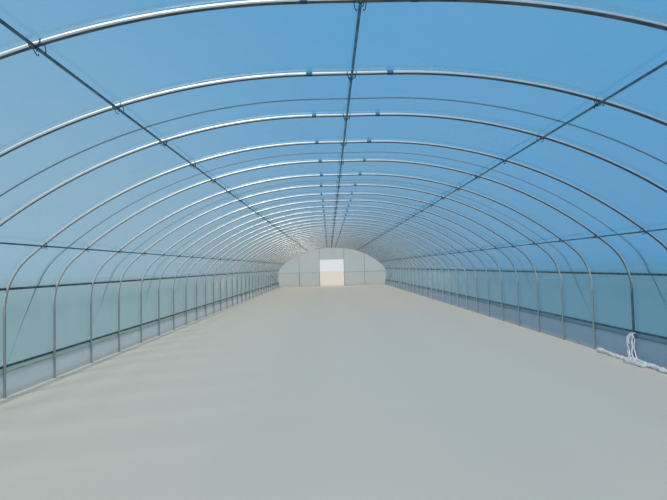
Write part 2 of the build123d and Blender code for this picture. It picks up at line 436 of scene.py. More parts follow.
@dataclass(frozen=True)
class Film:
    """Polythene film: part clear and part milky, with specks, faint clouds, dust and a gloss, and where set
    with painted rope shadows, painted hoop reflections and a painted distance haze.

    The side of the tunnel that the sun strikes has painted sunlit tints of its own, and the other side
    painted shaded tints.
    """

    name: str
    clear: Colour
    clear_sunny: Colour
    glow: Colour
    glow_sunny: Colour
    milk: float
    chalk: float = 0.06
    chalk_colour: Colour = (0.40, 0.50, 0.56, 1)
    dust_colour: Colour = (0.52, 0.50, 0.46, 1)
    dust_height: float = 0.0
    speck: float = 0.38
    speck_size: float = 0.06
    speck_and_shadow_colour: Colour = (0.02, 0.10, 0.17, 1)
    hoop_reflection: float = 0.0
    hoop_pitch: float = 1.0
    hoop_half_width: float = 0.09
    rope_shadow: float = 0.0
    rope_shadow_lean: float = 0.0
    rope_shadow_fade: tuple[float, float] = (0.5, 1.2)
    first_rope: float = -17.4
    rope_pitch: float = 2.0
    rope_shadow_half_width: float = 0.017
    painted_light_gains: Triple | None = None
    distance_haze: float = 0.0
    haze_lit_colour: Colour = (0.47, 0.41, 0.34, 1)
    haze_shaded: Colour = (0.52, 0.64, 0.66, 1)
    gloss_colour: Colour = (1, 1, 1, 1)
    gloss_roughness: float = 0.1
    lamp_light: Colour = (0.95, 0.93, 0.88, 1)

    def material(self) -> bpy.types.Material:
        """Build the finish.

        Returns:
            The material.
        """
        book = ShaderBook.material(self.name)
        clouds = book.noise(1.1, 4.0).ramp(0.3, 0.7)
        milk = clouds * 0.1 + (self.milk - 0.05)
        # Painted light: sunlit tints on the left side, shaded tints on the right.
        shaded = book.mixed(milk, book.clear(self.clear), self._milky(book, self.glow))
        lit = book.mixed(milk, book.clear(self.clear_sunny), self._milky(book, self.glow_sunny))
        sunny = 1 - book.rise("X", -4.0, 0.0)
        dust_haze_and_sheen, colour = self._dust_haze_and_sheen(book, clouds)
        dark_marks = self._specks_and_rope_shadows(book)
        skin = book.skin(
            Base_Color=book.blend(dark_marks.ramp(0.05, 0.2), colour, self.speck_and_shadow_colour),
            Roughness=0.4 + clouds * 0.1,
        )
        film = book.mixed(dust_haze_and_sheen.highest(dark_marks), book.mixed(sunny, shaded, lit), skin)
        crease = book.noise(4.0, 4.0, where=book.stretched((0.5, 1.4, 0.5)))
        gloss = book.node("ShaderNodeBsdfAnisotropic", inputs={
            "Color": self.gloss_colour,
            "Roughness": self.gloss_roughness,
            "Normal": book.bump(crease, 0.01, 0.3),
        })
        facing = book.node("ShaderNodeLayerWeight", inputs={"Blend": 0.5}, output="Facing")
        seen = book.mixed(facing**5 * 0.55 + 0.05, film, gloss)
        lamp_ray = book.node("ShaderNodeLightPath", output="Is Shadow Ray")
        return book.finish(book.mixed(lamp_ray, seen, book.clear(self.lamp_light)))

    def _milky(self, book: ShaderBook, colour: Colour) -> Signal:
        """Shader of the milky share, with painted light that brightens the film's top, where a curtain hangs
        behind it.

        Args:
            book: Book of the material.
            colour: Tint of the milky share.

        Returns:
            The shader.
        """
        if not self.painted_light_gains:
            return book.glow(colour)
        level = book.axis("Z") - book.rise("X", -1.0, 1.0) * 0.06
        bright = [min(1.0, part * gain) for part, gain in zip(colour, self.painted_light_gains)]
        return book.glow(book.blend(level.ramp(0.275, 0.3), colour, (*bright, 1)))

    def _dust_haze_and_sheen(self, book: ShaderBook, clouds: Signal) -> tuple[Signal, Colour | Signal]:
        """Chalky bloom of the film, its painted haze in the distance, its painted reflections along the
        hoops and its dust.

        Args:
            book: Book of the material.
            clouds: The film's faint clouds.

        Returns:
            Share of the film that is covered, and the cover's colour.
        """
        dust_haze_and_sheen, colour = clouds * 0.03 + self.chalk, self.chalk_colour
        # Painted distance haze towards the far end, with a painted shaded tint on the right.
        if self.distance_haze:
            far = book.rise("Y", -13.0, 7.0)
            dust_haze_and_sheen = dust_haze_and_sheen + far * self.distance_haze * (1 + book.rise("X", 0.0, 3.0) * 0.25)
            distance_haze = book.blend(book.rise("X", 0.0, 2.5), self.haze_lit_colour, self.haze_shaded)
            colour = book.blend(far, colour, distance_haze)
        # Painted reflection: pale lines in the film along each hoop.
        if self.hoop_reflection:
            broken = book.noise(30.0).ramp(0.3, 0.7) + 0.4
            painted_hoop_reflection = book.stripes(0.0, self.hoop_pitch, self.hoop_half_width) * broken
            dust_haze_and_sheen = dust_haze_and_sheen + painted_hoop_reflection * self.hoop_reflection
        if self.dust_height:
            low = (1 - book.rise("Z", 0.0, self.dust_height)) * (0.25 + book.noise(9.0, 4.0) * 0.5)
            dust_haze_and_sheen = dust_haze_and_sheen.highest(low)
            colour = book.blend(low.ramp(0.05, 0.3), colour, self.dust_colour)
        return dust_haze_and_sheen, colour

    def _specks_and_rope_shadows(self, book: ShaderBook) -> Signal:
        """Dark specks all over, and a painted shadow line under each rope, leaning on the walls and fading
        out lower down.

        Args:
            book: Book of the material.

        Returns:
            One where the film is dark and nought where it is clean.
        """
        fine = book.spots(23.0, self.speck_size) * 0.5
        dark_marks = book.spots(9.0, self.speck_size).highest(fine) * self.speck
        if not self.rope_shadow:
            return dark_marks
        # Painted shadow of each rope on the film, in the dark speck colour.
        rope_shadow_mask = book.stripes(self.first_rope, self.rope_pitch, self.rope_shadow_half_width, self.rope_shadow_lean)
        return dark_marks.highest(rope_shadow_mask * book.rise("Z", *self.rope_shadow_fade) * self.rope_shadow)


@dataclass(frozen=True)
class Plastic:
    """Glossy taped plastic with a slight mottle, and a painted highlight where it faces up."""

    name: str
    colour: Colour
    worn: Colour
    top: Colour
    roughness: float = 0.22

    def material(self) -> bpy.types.Material:
        """Build the finish.

        Returns:
            The material.
        """
        book = ShaderBook.material(self.name)
        wear = book.noise(60.0).ramp(0.45, 0.75)
        colour = book.blend(wear * 0.6, self.colour, self.worn)
        return book.finish(book.skin(
            # Painted highlight: the upward-facing side blended to the pale top colour.
            Base_Color=book.blend(book.way_up().ramp(-0.68, -0.4), colour, self.top),
            Roughness=self.roughness + wear * 0.15,
            Normal=book.bump(book.noise(240.0, 2.0), 0.0005, 0.4),
        ))


@dataclass(frozen=True)
class LaidRope:
    """Dark twisted rope, with its lay running along X and Z."""

    name: str
    colour: Colour
    light: Colour
    lays: float = 60.0

    def material(self) -> bpy.types.Material:
        """Build the finish.

        Returns:
            The material.
        """
        book = ShaderBook.material(self.name)
        inputs = {"Vector": book.place(), "Scale": self.lays}
        lay = book.node("ShaderNodeTexWave", {"bands_direction": "DIAGONAL"}, inputs, "Fac")
        strands = lay.ramp(0.2, 0.8)
        return book.finish(book.skin(
            Base_Color=book.blend(strands * 0.6 + book.noise(20.0) * 0.3, self.colour, self.light),
            Roughness=0.85,
            Normal=book.bump(strands, 0.0015, 0.8),
        ))


@dataclass(frozen=True)
class CrumpledFilm:
    """Torn white film, creased all over."""

    name: str
    colour: Colour
    shade: Colour

    def material(self) -> bpy.types.Material:
        """Build the finish.

        Returns:
            The material.
        """
        book = ShaderBook.material(self.name)
        crease = book.noise(38.0, 5.0, 0.65)
        skin = book.skin(
            Base_Color=book.blend(crease.ramp(0.36, 0.5), self.shade, self.colour),
            Roughness=0.35 + crease * 0.2,
            Normal=book.bump(crease, 0.012, 0.9),
        )
        return book.finish(book.mixed(0.3, skin, book.glow(self.colour)))


@dataclass(frozen=True)
class PlainGround:
    """Pale plain floor of the studio."""

    name: str
    colour: Colour

    def material(self) -> bpy.types.Material:
        """Build the finish."""
        book = ShaderBook.material(self.name)
        return book.finish(book.skin(Base_Color=self.colour, Roughness=0.9))


class Finishes:
    """Every material of the tunnel, made once."""

    def __init__(self) -> None:
        """Build the materials."""
        # Hoops: painted shade on their undersides, right side, wall foot and far end, and a painted haze
        # towards the far end.
        self.hoop = GalvanisedSteel(
            "hoop_zinc", (0.90, 0.91, 0.90, 1), (0.68, 0.71, 0.72, 1), 0.75, 0.34, dust=0.45, under=0.96
        ).material()
        # Purlins: the zinc painted dark navy, a painted shade for their unlit undersides.
        self.purlin = GalvanisedSteel(
            "purlin_zinc", (0.11, 0.21, 0.27, 1), (0.04, 0.11, 0.16, 1), 0.5
        ).material()
        self.channel = GalvanisedSteel(
            "channel_zinc", (0.08, 0.15, 0.18, 1), (0.03, 0.07, 0.09, 1), 0.5
        ).material()
        self.wire = GalvanisedSteel(
            "spring_wire", (0.04, 0.06, 0.08, 1), (0.01, 0.02, 0.03, 1), 0.5, 0.4
        ).material()
        self.stake = GalvanisedSteel(
            "stake_steel", (0.26, 0.22, 0.19, 1), (0.16, 0.12, 0.09, 1), 0.4, 0.6
        ).material()
        self.roof_film = Film(
            "roof_film",
            clear=(0.115, 0.445, 0.79, 1),
            clear_sunny=(0.34, 0.59, 0.76, 1),
            glow=(0.095, 0.32, 0.545, 1),
            glow_sunny=(0.29, 0.42, 0.50, 1),
            milk=0.35,
            # Painted shadow lines under the ropes.
            rope_shadow=1.0,
            # Painted reflections of the hoops in the film.
            hoop_reflection=0.16,
            # Painted distance haze towards the far end.
            distance_haze=0.42,
        ).material()
        self.curtain_film = Film(
            "curtain_film",
            clear=(0.14, 0.45, 0.73, 1),
            clear_sunny=(0.32, 0.58, 0.74, 1),
            glow=(0.10, 0.28, 0.42, 1),
            glow_sunny=(0.28, 0.42, 0.48, 1),
            milk=0.48,
            chalk=0.1,
            dust_height=0.6,
            # Painted shadow lines under the ropes, leaning on the wall.
            rope_shadow=0.75,
            rope_shadow_lean=0.5,
            # Painted distance haze towards the far end.
            distance_haze=0.2,
        ).material()
        self.skirt_film = Film(
            "skirt_film",
            clear=(0.14, 0.27, 0.44, 1),
            clear_sunny=(0.29, 0.49, 0.66, 1),
            glow=(0.17, 0.33, 0.50, 1),
            glow_sunny=(0.37, 0.48, 0.55, 1),
            milk=0.84,
            chalk=0.12,
            dust_height=0.14,
            # Painted light brightening the skirt's top band.
            painted_light_gains=(2.5, 2.2, 1.6),
        ).material()
        self.end_film = Film(
            "end_film",
            clear=(0.58, 0.72, 0.80, 1),
            clear_sunny=(0.58, 0.72, 0.80, 1),
            glow=(0.56, 0.62, 0.62, 1),
            glow_sunny=(0.56, 0.62, 0.62, 1),
            milk=0.7,
            chalk=0.25,
            chalk_colour=(0.62, 0.64, 0.62, 1),
            dust_height=0.4,
        ).material()
        self.rope = LaidRope("rope", (0.015, 0.02, 0.03, 1), (0.05, 0.07, 0.09, 1)).material()
        # Tape: dark navy, with a painted highlight on its upper side.
        self.tape = Plastic(
            "blue_tape", (0.0, 0.025, 0.10, 1), (0.01, 0.07, 0.19, 1), (0.05, 0.21, 0.34, 1)
        ).material()
        self.scrap = CrumpledFilm("white_film", (0.97, 0.97, 0.98, 1), (0.68, 0.70, 0.75, 1)).material()


def mesh_from(bm: bmesh.types.BMesh, name: str) -> bpy.types.Mesh:
    """Keep a bmesh as a mesh.

    Args:
        bm: The shape, which is freed.
        name: Name of the mesh.

    Returns:
        The mesh.
    """
    mesh = bpy.data.meshes.new(name)
    bm.to_mesh(mesh)
    bm.free()
    return mesh


def piece_from(
    name: str, bm: bmesh.types.BMesh, material: bpy.types.Material
) -> bpy.types.Object:
    """Turn a bmesh into a finished piece at the origin, with its faces outwards.

    Args:
        name: Name of the piece.
        bm: The shape, which is freed.
        material: Its finish.

    Returns:
        The object, which rides on the tunnel.
    """
    bmesh.ops.recalc_face_normals(bm, faces=bm.faces)
    mesh = mesh_from(bm, name)
    mesh.materials.append(material)
    mesh.shade_smooth()
    made = bpy.data.objects.new(name, mesh)
    bpy.context.scene.collection.objects.link(made)
    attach(made, "root")
    log.info("%s: %d faces", name, len(mesh.polygons))
    return made


def verts_in(geom: list) -> Verts:
    """Vertices among what an operator reports."""
    return [item for item in geom if isinstance(item, bmesh.types.BMVert)]


def verts_from(bm: bmesh.types.BMesh, first: int) -> Verts:
    """Vertices of a bmesh from one number onwards."""
    bm.verts.ensure_lookup_table()
    return bm.verts[first:]


class Tube:
    """A round section that is drawn on, ring by ring."""

    def __init__(self, bm: bmesh.types.BMesh, place: Matrix, radius: float, sides: int) -> None:
        """Draw the first ring.

        Args:
            bm: Where the tube is added.
            place: Place of the ring, which lies square to its Z.
            radius: Radius of the section.
            sides: Sides of the section.
        """
        self.bm = bm
        made = bmesh.ops.create_circle(bm, cap_ends=False, radius=radius, segments=sides, matrix=place)
        self.rings = [made["verts"]]
        self.rim = list({edge for vert in made["verts"] for edge in vert.link_edges})

    def draw_on(self, move: Matrix) -> None:
        """Draw the next ring.

        Args:
            move: What takes the last ring to the next.
        """
        made = bmesh.ops.extrude_edge_only(self.bm, edges=self.rim)["geom"]
        ring = verts_in(made)
        bmesh.ops.transform(self.bm, matrix=move, verts=ring)
        edges = [item for item in made if isinstance(item, bmesh.types.BMEdge)]
        self.rim = [edge for edge in edges if all(vert in ring for vert in edge.verts)]
        self.rings.append(ring)


def sweep(bm: bmesh.types.BMesh, path: list[Vector], radius: float, sides: int) -> Verts:
    """Sweep a round section along a path and close its ends.

    Args:
        bm: Where the tube is added.
        path: Points that the section follows.
        radius: Radius of the section.
        sides: Sides of the section.

    Returns:
        The tube's vertices.
    """
    headings = [(b - a).normalized() for a, b in zip(path, path[1:])]
    bends = [(a + b).normalized() for a, b in zip(headings, headings[1:])]
    tangents = [headings[0], *bends, headings[-1]]
    turn = Vector((0, 0, 1)).rotation_difference(tangents[0]).to_matrix().to_4x4()
    tube = Tube(bm, Matrix.Translation(path[0]) @ turn, radius, sides)
    start = tube.rim
    for before, after, old, new in zip(path, path[1:], tangents, tangents[1:]):
        turn = old.rotation_difference(new).to_matrix().to_4x4()
        tube.draw_on(Matrix.Translation(after) @ turn @ Matrix.Translation(-before))
    for end in (start, tube.rim):
        bmesh.ops.edgeloop_fill(bm, edges=end)
    return [vert for ring in tube.rings for vert in ring]


def stamp(bm: bmesh.types.BMesh, shape: bpy.types.Mesh, places: list[Matrix]) -> None:
    """Add a copy of a shape at each place.

    Args:
        bm: Where the copies are added.
        shape: The shape, about its own origin.
        places: Where each copy goes.
    """
    for place in places:
        first = len(bm.verts)
        bm.from_mesh(shape)
        bmesh.ops.transform(bm, matrix=place, verts=verts_from(bm, first))


def line_on(bm: bmesh.types.BMesh, last: Verts, places: list[Vector]) -> Verts:
    """Draw a profile on from its last vertex.

    Args:
        bm: The profile so far.
        last: Its last vertex.
        places: Places of the next vertices.

    Returns:
        The new last vertex.
    """
    for place in places:
        last = bmesh.ops.extrude_vert_indiv(bm, verts=last)["verts"]
        last[0].co = place
    return last


def extruded_rows(bm: bmesh.types.BMesh, half_length: float, rows: int) -> None:
    """Draw the edges that a bmesh holds along Y into a sheet.

    Args:
        bm: A profile at Y nought, which becomes the sheet.
        half_length: Half the sheet's length.
        rows: Rows of faces.
    """
    bmesh.ops.translate(bm, verts=bm.verts, vec=(0, -half_length, 0))
    step = (0, 2 * half_length / rows, 0)
    bmesh.ops.spin(bm, geom=bm.edges[:], cent=(0, 0, 0), axis=(0, 1, 0), dvec=step, angle=0, steps=rows)


def folds(place: Triple, finer: float, share: float) -> float:
    """Noise at a place, with a finer one added at a share of its strength."""
    here = Vector(place)
    return noise.noise(here) + share * noise.noise(here * finer)


@dataclass
class Steelwork:
    """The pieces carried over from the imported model."""

    nodes: dict[str, bpy.types.Object]
    slots: dict[str, str]
    finishes: Finishes

    def dress(self) -> None:
        """Give each carried-over piece its finish."""
        by_slot = {
            "hoop_steel": self.finishes.hoop,
            "purlin_steel": self.finishes.purlin,
            "channel_steel": self.finishes.channel,
            "stake_steel": self.finishes.stake,
            "clear_film": self.finishes.roof_film,
            "curtain_film": self.finishes.curtain_film,
            "skirt_film": self.finishes.skirt_film,
            "rope": self.finishes.rope,
        }
        for name, piece in self.nodes.items():
            piece.data.materials.clear()
            piece.data.materials.append(by_slot[self.slots[name]])
        log.info("dressed %d carried-over pieces", len(self.nodes))


@dataclass
class RoofCover:
    """One sheet of film over all the hoops, tucked into both eave channels.

    The tuck's points are up the channel and out of it.
    """

    arch: Arch
    finish: bpy.types.Material
    tuck: tuple[tuple[float, float], ...] = (
        (0.0085, 0.009), (0.0098, 0.0158), (0.0125, 0.0158), (0.0163, 0.0008)
    )
    clearance: float = 0.0168
    row_length: float = 0.1
    column_length: float = 0.16
    weld: float = 0.0005
    taut_rise: float = 0.35
    easing_rise: float = 0.4
    billow: float = 0.006
    roped_billow: float = 0.6
    wrinkle: float = 0.004

    def build(self) -> None:
        """Build the sheet, in place of the six roof strips."""
        bm = bmesh.new()
        half_length = self.arch.half_length + self.clearance
        for side in Side:
            first = len(bm.verts)
            self._half(bm, side)
            bmesh.ops.transform(bm, matrix=side.mirror, verts=verts_from(bm, first))
        bmesh.ops.remove_doubles(bm, verts=bm.verts, dist=self.weld)
        extruded_rows(bm, half_length, round(2 * half_length / self.row_length))
        for vert in bm.verts:
            self._settle(vert)
        cover = piece_from("roof_cover", bm, self.finish)
        strips = [f"roof_film_{strip}_{side.word}" for strip in ("ridge", "middle", "eave") for side in Side]
        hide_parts(*strips)

    def _half(self, bm: bmesh.types.BMesh, side: Side) -> None:
        """Draw half of the profile on the right, with one side's eave channel.

        Args:
            bm: Where the half is added.
            side: Side whose channel holds the film.
        """
        arch = self.arch
        channel = side.mirror @ arch.channel_frame(side)
        held = [channel @ Vector((-along, 0, out)) for along, out in self.tuck]
        last = line_on(bm, [bm.verts.new(held[0])], held[1:])
        start = last[0].co - arch.bend_centre
        round_bend = math.pi / 2 - arch.crown_end - math.atan2(start.z, start.x)
        last = self._arc(bm, last, arch.bend_centre, round_bend)
        last = self._arc(bm, last, arch.crown_centre, arch.crown_end)
        line_on(bm, last, [last[0].co - Vector((arch.ridge_half, 0, 0))])

    def _arc(self, bm: bmesh.types.BMesh, last: Verts, centre: Vector, angle: float) -> Verts:
        """Spin the profile's last vertex about a centre, upwards.

        Args:
            bm: The profile so far.
            last: Its last vertex.
            centre: Centre of the arc.
            angle: Angle of the arc.

        Returns:
            The new last vertex.
        """
        steps = max(2, round(angle * (last[0].co - centre).length / self.column_length))
        made = bmesh.ops.spin(bm, geom=last, cent=centre, axis=(0, -1, 0), angle=angle, steps=steps)
        return verts_in(made["geom_last"])

    def _settle(self, vert: bmesh.types.BMVert) -> None:
        """Let a point of the sheet billow between the hoops, and press it down under a rope.

        Args:
            vert: The point.
        """
        arch = self.arch
        reach = min(1.0, max(0.0, (vert.co.z - arch.bend_centre.z - self.taut_rise) / self.easing_rise))
        along = (vert.co.y + arch.half_length) / arch.spacing
        if reach == 0 or not 0 < along < 2 * arch.half_length / arch.spacing:
            return
        share = along % 1
        between = math.sin(math.pi * share)
        if int(along) % arch.rope_every == 0:
            low, high = arch.rope_place, 1 - arch.rope_place
            part = share / low if share < low else (1 - share) / high
            between = math.sin(math.pi * part) * self.roped_billow
        wave = noise.noise(Vector((vert.co.x, vert.co.y * 4.4, 6.2)))
        lift = (self.billow + self.wrinkle * wave) * between
        angle = math.copysign(arch.roof_angle(vert.co.x), vert.co.x)
        vert.co += Vector((math.sin(angle), 0, math.cos(angle))) * max(0.0, lift * reach)


@dataclass
class SideCurtain:
    """Roll-up film wall, from the eave channel down to its roll tube.

    The tuck's points are down the channel and out of it.
    """

    arch: Arch
    finish: bpy.types.Material
    side: Side
    tuck: tuple[tuple[float, float], ...] = ((0.0075, 0.009), (0.0098, 0.0158), (0.0125, 0.0158))
    row_length: float = 0.08
    overhang: float = 0.017
    stand_off: float = 0.0322
    bend_steps: int = 3
    wall_steps: int = 9
    wound_steps: int = 15
    wound_turns: float = 1.25
    wound_gap: float = 0.0008
    wound_growth: float = 0.00002
    slack: float = 0.011
    slack_top: float = 0.15
    slack_foot: float = 0.04

    def build(self) -> None:
        """Build the curtain, in place of the plain one."""
        arch, bm, side = self.arch, bmesh.new(), self.side
        channel = side.mirror @ arch.channel_frame(side)
        low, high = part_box(f"roll_tube_{side.word}")
        tube = Vector(((abs(low.x) + abs(high.x)) / 2, 0, (low.z + high.z) / 2))
        held = [channel @ Vector((along, 0, out)) for along, out in self.tuck]
        last = line_on(bm, [bm.verts.new(held[0])], held[1:])
        start = last[0].co - arch.bend_centre
        last = verts_in(bmesh.ops.spin(
            bm, geom=last, cent=arch.bend_centre, axis=(0, 1, 0), angle=math.atan2(start.z, start.x),
            steps=self.bend_steps,
        )["geom_last"])
        top = Vector((arch.half_span + self.stand_off, 0, last[0].co.z))
        last[0].co = top
        drop = Vector((0, 0, (tube.z - top.z) / self.wall_steps))
        last = line_on(bm, last, [top + drop * step for step in range(1, self.wall_steps + 1)])
        last[0].co = tube + Vector(((high.z - low.z) / 2 + self.wound_gap, 0, 0))
        bmesh.ops.spin(
            bm, geom=last, cent=tube, axis=(0, 1, 0), angle=math.tau * self.wound_turns,
            steps=self.wound_steps, dvec=(self.wound_growth, 0, 0),
        )
        extruded_rows(bm, arch.half_length + self.overhang, round(2 * arch.half_length / self.row_length))
        for vert in bm.verts:
            self._hang(vert, tube.z + self.slack_foot)
        bmesh.ops.transform(bm, matrix=side.mirror, verts=bm.verts)
        curtain = piece_from(f"curtain_{side.word}", bm, self.finish)
        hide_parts(f"side_curtain_{side.word}")

    def _hang(self, vert: bmesh.types.BMVert, foot: float) -> None:
        """Give a point of the hanging part its folds, mostly inwards.

        Args:
            vert: The point.
            foot: Height of the lowest fold.
        """
        top = self.arch.bend_centre.z + self.slack_top
        if not foot < vert.co.z < top:
            return
        share = math.sin(math.pi * (vert.co.z - foot) / (top - foot))
        fold = folds((self.side.value * 7.0, vert.co.y * 2.6, vert.co.z * 0.7), 2.3, 0.5)
        vert.co.x -= self.slack * share * (0.5 + 0.7 * fold)


@dataclass
class Skirt:
    """Strip of film along the foot of a long wall."""

    arch: Arch
    finish: bpy.types.Material
    side: Side
    row_length: float = 0.06
    rows_up: int = 8
    overhang: float = 0.017
    stand_off: float = 0.0172
    crumple: float = 0.010
    pinned_foot: float = 1.15

    def build(self) -> None:
        """Build the skirt, in place of the plain one."""
        arch, bm, side = self.arch, bmesh.new(), self.side
        low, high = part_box(f"skirt_{side.word}")
        height = high.z - low.z
        top = Vector((arch.half_span + self.stand_off, 0, high.z))
        step = Vector((0, 0, -height / self.rows_up))
        line_on(bm, [bm.verts.new(top)], [top + step * row for row in range(1, self.rows_up + 1)])
        extruded_rows(bm, arch.half_length + self.overhang, round(2 * arch.half_length / self.row_length))
        for vert in bm.verts:
            below = min(1.0, self.pinned_foot * (high.z - vert.co.z) / height)
            slack = math.sin(math.pi * below / self.pinned_foot)
            fold = folds((side.value * 3.0, vert.co.y * 4.2, vert.co.z * 5.0), 2.7, 0.4)
            vert.co.x += self.crumple * slack * (fold + 0.25)
        bmesh.ops.transform(bm, matrix=side.mirror, verts=bm.verts)
        skirt = piece_from(f"foot_skirt_{side.word}", bm, self.finish)
        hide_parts(f"skirt_{side.word}")


@dataclass
class EndSheet:
    """Film over an end wall, with its doorway cut out."""

    arch: Arch
    finish: bpy.types.Material
    end: End
    doorway_width: float = 1.8
    doorway_height: float = 2.0
    held_rise: float = 0.1
    slackening: float = 3.0
    wrinkle: float = 0.006
    cell: float = 0.11
    top_rows: int = 8
    door_columns: int = 8
    bend_columns: int = 10

    def build(self) -> None:
        """Build the sheet, in place of the three end panels."""
        bm, end = bmesh.new(), self.end.name.lower()
        low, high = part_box(f"{end}_film_left")
        level_y = (low.y + high.y) / 2
        self._grid(bm)
        half_door = self.doorway_width / 2
        doorway = []
        for face in bm.faces:
            middle = face.calc_center_median()
            if abs(middle.x) < half_door and middle.z < self.doorway_height:
                doorway.append(face)
        bmesh.ops.delete(bm, geom=doorway, context="FACES")
        for vert in bm.verts:
            fold = folds((vert.co.x * 1.7, self.end.value * 5.0, vert.co.z * 1.1), 2.4, 0.5)
            beside = vert.co.z < self.doorway_height + self.held_rise
            edge = min(1.0, self.slackening * abs(abs(vert.co.x) - half_door)) if beside else 1.0
            vert.co.y = level_y + self.end.value * self.wrinkle * edge * max(-0.2, fold)
        sheet = piece_from(f"{end}_end_sheet", bm, self.finish)
        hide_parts(*[f"{end}_film_{part}" for part in ("left", "right", "top")])

    def _grid(self, bm: bmesh.types.BMesh) -> None:
        """Draw a flat grid under the outline, with a row along the doorway's top.

        Args:
            bm: Where the grid is added.
        """
        columns = self._columns()
        door_rows = round(self.doorway_height / self.cell)
        across, up = len(columns) - 1, door_rows + self.top_rows
        bmesh.ops.create_grid(bm, x_segments=across, y_segments=up, size=0.5)
        for vert in bm.verts:
            x = columns[round((vert.co.x + 0.5) * across)]
            row = round((vert.co.y + 0.5) * up)
            top = self._outline(x)
            middle = self.doorway_height * min(1.0, top / self._outline(self.doorway_width / 2))
            level = middle * row / door_rows
            if row > door_rows:
                level = middle + (top - middle) * (row - door_rows) / self.top_rows
            vert.co = Vector((x, 0, level))

    def _columns(self) -> list[float]:
        """X of each column, closer together round the eave bends.

        Returns:
            The places, from left to right.
        """
        arch, half_door = self.arch, self.doorway_width / 2
        door = [half_door * i / self.door_columns for i in range(self.door_columns)]
        roof_run = arch.bend_centre.x - half_door
        count = round(roof_run / self.cell)
        roof = [half_door + roof_run * i / count for i in range(count)]
        reach = arch.bend_radius + arch.tube_radius
        turns = [math.pi / 2 * i / self.bend_columns for i in range(self.bend_columns + 1)]
        bend = [arch.bend_centre.x + reach * math.sin(turn) for turn in turns]
        right = door + roof + bend
        return [-x for x in reversed(right[1:])] + right

    def _outline(self, x: float) -> float:
        """Height of the end wall's outline.

        Args:
            x: Place across the wall.

        Returns:
            The height over that place.
        """
        arch, x = self.arch, abs(x)
        reach = arch.bend_radius + arch.tube_radius
        if x > arch.bend_centre.x + reach * math.sin(arch.crown_end):
            return arch.bend_centre.z + math.sqrt(max(0.0, reach**2 - (x - arch.bend_centre.x) ** 2))
        reach = arch.crown_radius + arch.tube_radius
        return arch.crown_centre.z + math.sqrt(reach**2 - max(0.0, x - arch.ridge_half) ** 2)


@dataclass
class PurlinClips:
    """Spring-wire clips that hold each purlin up against each hoop."""

    arch: Arch
    finish: bpy.types.Material
    wire_radius: float = 0.0028
    wire_gap: float = 0.0004
    sides: int = 5
    spread: float = 0.034
    ridge_tube: float = 0.015
    flipped_share: float = 0.25
    sway: float = 0.12

    def build(self) -> None:
        """Build a clip on every crossing."""
        bm, rng = bmesh.new(), random.Random(7)
        shapes = {}
        sided = [f"{level}_purlin_{side.word}" for level in ("upper", "lower") for side in Side]
        for node in ("ridge_purlin", *sided):
            low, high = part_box(node)
            middle = (low + high) / 2
            radius = (high.z - low.z) / 2
            tube = self.ridge_tube if node == "ridge_purlin" else self.arch.tube_radius
            key = (round(radius, 4), tube)
            if key not in shapes:
                shapes[key] = self._clip(tube, radius)
            angle = math.copysign(self.arch.roof_angle(self._foot(middle)), middle.x)
            out = Vector((math.sin(angle), 0, math.cos(angle)))
            along = Vector((math.cos(angle), 0, -math.sin(angle)))
            centre = Vector((middle.x, 0, middle.z)) + out * (radius + tube)
            places = []
            for y in self.arch.hoop_places[1:-1]:
                flip = -1.0 if rng.random() < self.flipped_share else 1.0
                place = frame_at(centre + Vector((0, y, 0)), along * flip, out)
                places.append(place @ Matrix.Rotation(rng.uniform(-self.sway, self.sway), 4, "Z"))
            stamp(bm, shapes[key], places)
        piece_from("purlin_clips", bm, self.finish)

    def _foot(self, middle: Vector) -> float:
        """X on the roof's centreline that lies square above a purlin.

        Args:
            middle: Middle of the purlin.

        Returns:
            The distance from the ridge line.
        """
        centre = self.arch.crown_centre
        if abs(middle.x) <= self.arch.ridge_half:
            return 0.0
        out = Vector((abs(middle.x) - centre.x, 0, middle.z - centre.z)).normalized()
        return centre.x + out.x * self.arch.crown_radius

    def _clip(self, hoop: float, purlin: float) -> bpy.types.Mesh:
        """One clip: a loop under the purlin, two bows over the hoop and two hooked prongs.

        Args:
            hoop: Radius of the hoop, which runs along X through the origin.
            purlin: Radius of the purlin, which runs along Y under it.

        Returns:
            The shape.
        """
        bm = bmesh.new()
        gap = self.wire_radius + self.wire_gap
        over, drop = hoop + gap, hoop + purlin
        under = purlin + gap
        bottom, wide = -drop - under, self.spread
        half = [Vector(point) for point in (
            (0.0, -over * 1.5, bottom),
            (under * 0.8, -over * 1.45, bottom + under * 0.35),
            (under * 1.3, -over * 1.3, -drop),
            (wide * 0.9, -over * 1.05, -hoop * 0.6),
            (wide, -over * 0.72, over * 0.72),
            (wide, 0.0, over),
            (wide, over * 0.72, over * 0.72),
            (wide, over * 1.05, -hoop * 0.4),
            (wide * 0.92, over * 1.2, -drop),
            (wide * 0.78, over * 1.3, bottom - 0.006),
            (wide * 0.62, over * 1.35, bottom - 0.012),
            (wide * 0.5, over * 1.35, bottom - 0.002),
        )]
        other_half = [Side.LEFT.mirror @ point for point in reversed(half[1:])]
        tail = [Vector(point) for point in (
            (under * 0.98, -over * 1.3, -drop),
            (under * 1.5, -over * 1.6, -drop - under * 0.9),
            (under * 1.2, -over * 1.75, bottom - 0.010),
            (under * 0.6, -over * 1.7, bottom - 0.022),
        )]
        for wire in (other_half + half, tail):
            sweep(bm, wire, self.wire_radius, self.sides)
        return mesh_from(bm, "clip")


